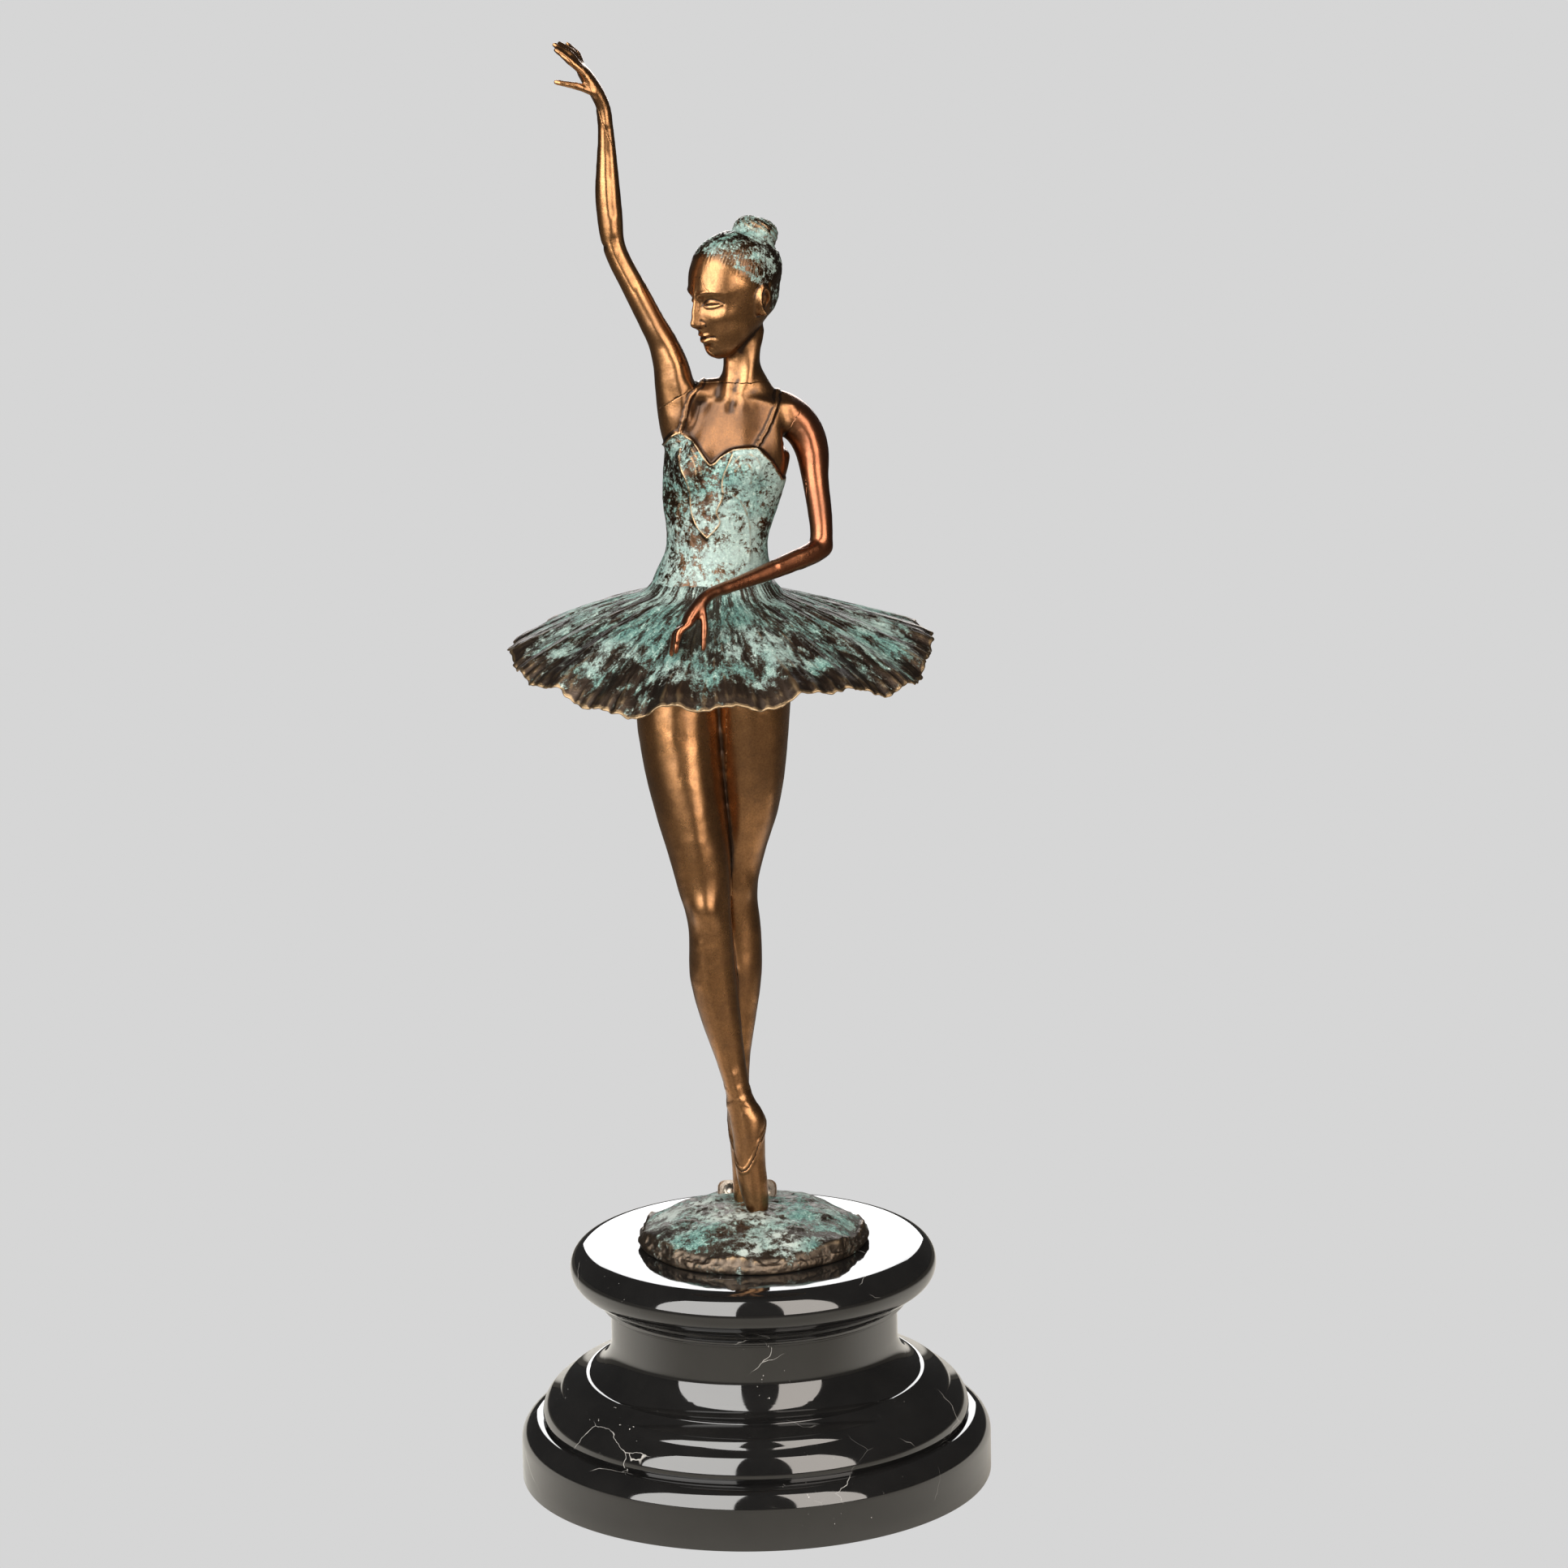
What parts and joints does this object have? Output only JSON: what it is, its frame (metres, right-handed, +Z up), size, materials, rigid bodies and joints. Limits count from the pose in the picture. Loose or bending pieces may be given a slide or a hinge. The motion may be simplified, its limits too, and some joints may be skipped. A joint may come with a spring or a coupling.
{
  "type": "bronze dancer statuette",
  "caption": "Bronze statuette of a dancer on pointe in a patinated tutu, welded from hollow and solid castings, on a mound bolted to a turned black stone pedestal.",
  "frame": {"origin": "centre of the underside of the felt pad under the pedestal", "axes": "+Z up along the pedestal's axis, +X to the right as seen by a viewer who faces the statuette's front, the front towards -Y"},
  "size_m": [0.13, 0.13, 0.3953],
  "materials": {
    "felt": "matt needle felt",
    "black_marble": "polished, with sparse white veins and flecks",
    "zinc_steel": "zinc plated",
    "rock_patina": "verdigris over dark brown, rubbed to bare bronze on the edges",
    "dark_bronze": "dark brown patina, high edges rubbed bright",
    "leg_bronze": "golden brown patina, waxed",
    "bodice_bronze": "golden skin above a verdigris bodice",
    "tutu_patina": "verdigris mottled over dark brown, ridges rubbed bright",
    "head_bronze": "golden brown skin, verdigris over dark hair",
    "arm_bronze": "warm brown patina, waxed",
    "copper_bronze": "reddish copper-brown patina, waxed"
  },
  "bodies": {
    "root": {"felt_pad": "felt", "plinth_stone": "black_marble", "moulding_stone": "black_marble", "neck_stone": "black_marble", "cap_stone": "black_marble", "threaded_stud": "zinc_steel", "large_washer": "zinc_steel", "spring_washer": "zinc_steel", "hex_nut": "zinc_steel", "mound_casting": "rock_patina", "foundry_plate": "dark_bronze", "front_toe_pin": "zinc_steel", "rear_toe_pin": "zinc_steel", "front_leg_casting": "leg_bronze", "rear_leg_casting": "leg_bronze", "torso_casting": "bodice_bronze", "tutu_casting": "tutu_patina", "neck_pin": "zinc_steel", "head_casting": "head_bronze", "raised_shoulder_pin": "zinc_steel", "raised_arm_casting": "arm_bronze", "lowered_shoulder_pin": "zinc_steel", "lowered_arm_casting": "copper_bronze"}
  },
  "joints": []
}
